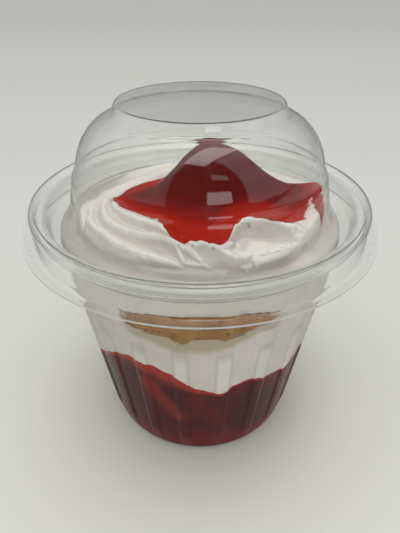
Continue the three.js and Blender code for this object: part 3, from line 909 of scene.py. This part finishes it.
# Where the cream gets painted shade (steep, low, at the hump's foot) or a painted highlight (crested), and
# where it is specked or tinted brown, for its material
def markSwirl(swirl, placed, height, top, onTop, onSide):
    x, y = placed[:, 0], placed[:, 1]
    angle, radius = polar(placed)
    step = 0.6
    slope = np.hypot(
        creamTop(x + step, y) - creamTop(x - step, y), creamTop(x, y + step) - creamTop(x, y - step)
    ) / (2 * step)
    atRight, atLeft = smooth(21, 29, x), smooth(4, 22, -x)
    # Painted shade on steep slopes and the outer ring, less at the right and the left; the swirl's side
    # gets a fixed share of it
    steep = np.maximum(smooth(0.08, 0.65, slope), smooth(35.5, 37.5, radius))
    steep = steep * (1 - 0.6 * atRight) * (1 - 0.5 * atLeft)
    # Painted shade in the hollow at the hump's foot
    away, side, _ = pathDistance(placed, smoothPath(folds[humpFootShade["fold"]]["path"]))
    foot = (side > 0) * smooth(1, 3, away) * (1 - smooth(4.6, 6.4, away)) * smooth(8, 12, x)
    setAttribute(swirl, "steep", np.where(onTop, np.maximum(steep, humpFootShade["shade"] * foot), 0.55))
    # A mask for painted shade on the low shelf by the rim
    low = (1 - smooth(79.3, 81.0, height)) * (1 - 0.75 * atRight)
    setAttribute(swirl, "shelf", low * (height > cupForm["shoulder"] + 0.1))
    step = 0.9
    # Convex places get a painted highlight on their crests
    around = sum(creamTop(x + a, y + b) for a, b in ((step, 0), (-step, 0), (0, step), (0, -step)))
    setAttribute(swirl, "crest", np.where(onTop, smooth(0.05, 0.6, 4 * top - around), 0))
    specks = sum(1 - smooth(0.5, 1.2, np.hypot(x - atX, y - atY) / half) for atX, atY, half in topSpecks)
    setAttribute(swirl, "speck", np.where(onTop, specks, 0))
    # A brownish tint on the cream's side beside the sponge
    above = (height - spongeCeiling(angle)) / 1.5
    beside = np.maximum((np.abs(np.degrees(angle)) - dessert["spongeShows"]) / 5, above)
    setAttribute(swirl, "film", np.where(onSide, 0.8 * (1 - smooth(0, 1, beside)), 0))


def makeSwirl(material):
    bottom = dessert["spongeBottom"] - 0.1
    shelf, edge = dessert["creamShelf"], dessert["creamEdge"]
    shoulder = cupForm["shoulder"] - 0.9
    sides = np.linspace(bottom, shoulder, 14)
    inner = (0.3, 0.6, 0.85, 0.99)
    rings = [(wallRadius(bottom) * share, bottom - 20 - step) for step, share in enumerate(inner)]
    rings += [(wallRadius(height), height) for height in sides]
    rings += [(cupForm["wallTop"] - 0.6, shelf - 1.9), (cupForm["wallTop"] - 0.3, shelf - 1.0)]
    rings += [(cupForm["wallTop"] - 0.5, shelf - 0.5), (43, shelf - 0.2), (41, shelf - 0.05)]
    rings += [(edge + 0.6, shelf)]
    inward = list(np.linspace(edge, 17, 72)) + [15, 13, 11, 9, 7, 5, 3, 1.5]
    rings += [(radius, shelf + 1) for radius in inward]
    swirl = ringPiece("creamSwirl", cupForm["segments"], rings, closeEnd=True)
    points = readPoints(swirl)
    angle, radius = polar(points)
    height = points[:, 2].copy()
    onBottom = height < bottom - 1
    onSide = (height >= bottom - 1e-3) & (height <= shoulder + 1e-3)
    onTop = height > shelf + 0.5
    share = np.where(onBottom, radius / wallRadius(bottom), 1)
    height = np.where(onBottom, bottom, height)
    radius = np.where(onBottom | onSide, share * fillRadius(angle, height), radius)
    placed = fromPolar(angle, radius, height)
    top = creamTop(placed[:, 0], placed[:, 1])
    height = np.where(onTop, top, height)
    placed = fromPolar(angle, radius, height)
    height = height + np.where(onTop, 0.10 * ripple(placed, 5, 11) + 0.05 * ripple(placed, 2, 12), 0)
    shows = math.radians(dessert["spongeShows"])
    slot = onSide & (np.abs(angle) < shows + 0.05)
    sunk = (height < spongeCeiling(angle)) & (height > spongeFloor(angle) - 0.4) & slot
    mouth = 1 - smooth(shows, shows + 0.04, np.abs(angle))
    radius = radius - np.where(sunk, dessert["slotDepth"] * mouth, 0)
    writePoints(swirl, fromPolar(angle, radius, height))
    markSwirl(swirl, placed, height, top, onTop, onSide)
    finishPiece(swirl, "whipped_cream", material, "cream_swirl", angle=80)


glaze = {
    "centre": (2, -4), "level": 85.4, "frontFall": 0.12, "frontFrom": 14, "farthest": 38.4,
    "peak": (3.6, -0.5), "peakHeight": 8.5, "peakHalf": 15.1, "peakPower": 3.1,
    "wingFrom": (2.9, 1), "wingTo": (36, 0), "wingHeight": 7.0, "wingFade": 0.82, "wingHalf": 9.6,
    "edge": 0.9, "under": 0.35,
    "pool": (-20, -3), "poolDepth": 3.0, "poolHalf": 9,       # it looks deeper there
    "tip": (37.8, 0.5), "tipHeight": 3.2, "tipHalf": 4.5,
    "curlFrom": (34.4, -3.0), "curlTo": (32.0, -14.5), "curlHalf": (0.9, 2.9),
}
glazeOutline = (            # angle from the front round its centre, reach
    (-180, 16.5), (-150, 16.3), (-129, 17.6), (-120, 19), (-112, 21.2), (-105, 23.4), (-98, 25.6),
    (-92, 27.4), (-86, 28.8), (-80, 29.4), (-76, 28.6), (-70, 25), (-62, 22.2), (-50, 20.9), (-40, 20.8),
    (-32, 22.6), (-25, 24.8), (-18, 26.6), (-14.5, 26.2), (-13, 24.6), (-8, 25.4), (0, 25.7), (6, 27),
    (8.5, 26), (12, 24), (17, 21.4), (22, 19.4), (28, 18), (35, 18), (42, 19.8), (47, 22.4), (50, 25.6),
    (53, 28.6), (57, 28.2), (62, 28.6), (66, 31.4), (72, 33.4), (80, 38.5), (90, 41), (97, 40.5),
    (104, 33.5), (114, 27), (125, 21), (150, 17.5),
)


# Distance from the line between two plan places, and the share of the way along it
def lineDistance(x, y, start, end):
    line = np.array(end, float) - np.array(start, float)
    away = np.stack([x, y], axis=1) - np.array(start, float)
    along = np.clip(away @ line / (line @ line), 0, 1)
    return np.hypot(*(away - along[:, None] * line).T), along


def nearSpot(x, y, spot, half, power=2):
    return np.exp(-(np.hypot(x - spot[0], y - spot[1]) / half) ** power)


def makeGlaze():
    shares = list(np.linspace(0.06, 0.9, 34)) + [0.925, 0.945, 0.962, 0.976, 0.987, 0.995, 1.0]
    rings = [(share * 10, 0) for share in shares]
    rings += [(share * 10, -1) for share in reversed(shares[:-1:3])]
    topping = ringPiece("strawberryTopping", 300, rings, closeEnd=True)
    points = readPoints(topping)
    angle, radius = polar(points)
    share = radius / 10
    under = points[:, 2] < -0.5
    reach = share * fromTable(angle, glazeOutline, 2.5)
    x = glaze["centre"][0] + reach * np.sin(angle)
    y = glaze["centre"][1] - reach * np.cos(angle)
    inside = np.minimum(1, glaze["farthest"] / np.hypot(x, y))
    x, y = x * inside, y * inside
    cream = creamTop(x, y)
    full = glaze["level"] - glaze["frontFall"] * np.maximum(0, -y - glaze["frontFrom"])
    full = full + glaze["peakHeight"] * nearSpot(x, y, glaze["peak"], glaze["peakHalf"], glaze["peakPower"])
    away, along = lineDistance(x, y, glaze["wingFrom"], glaze["wingTo"])
    wing = np.exp(-(away / glaze["wingHalf"]) ** 2)
    full = full + glaze["wingHeight"] * wing * (1 - glaze["wingFade"] * along)
    full = full + glaze["tipHeight"] * nearSpot(x, y, glaze["tip"], glaze["tipHalf"])
    rounded = np.sqrt(np.maximum(0, 1 - share ** 5))
    thick = np.maximum(glaze["edge"], full - cream) * rounded
    place = np.stack([x, y, cream + thick], axis=1)
    thick = thick + 0.12 * ripple(place, 9, 21) * rounded
    away, along = lineDistance(x, y, glaze["curlFrom"], glaze["curlTo"])
    bare = 1 - smooth(0.7, 1.0, away / lerp(*glaze["curlHalf"], along ** 2))      # cream lies bare there
    thick = thick - (thick + glaze["under"]) * bare
    height = np.where(under, cream - glaze["under"], cream - 0.1 + thick)
    writePoints(topping, np.stack([x, y, height], axis=1))
    pooled = glaze["poolDepth"] * nearSpot(x, y, glaze["pool"], glaze["poolHalf"])
    setAttribute(topping, "depth", np.where(under, 0.5, np.maximum(0, thick) + pooled))
    finishPiece(topping, "strawberry_glaze", glazeFinish(), "strawberry_topping", angle=80)


makeCamera()
makeFloor()
makeLight()
makeCup()
makeLid()
cream = creamFinish("whippedCream", 0.35, 1.06, 0.0)
makeRedLayer()
# The cream at the wall is a shaded copy: darker colours, and painted shade at the left
makeCreamLayer(creamFinish("creamAtWallShaded", 0.02, 0.88, 0.35))
makeSponge()
makeSwirl(cream)
makeGlaze()

scene = bpy.context.scene
scene.view_settings.view_transform = "Standard"
scene.cycles.use_denoising = True
scene.cycles.max_bounces = 24
scene.cycles.transmission_bounces = 24
scene.cycles.transparent_max_bounces = 32
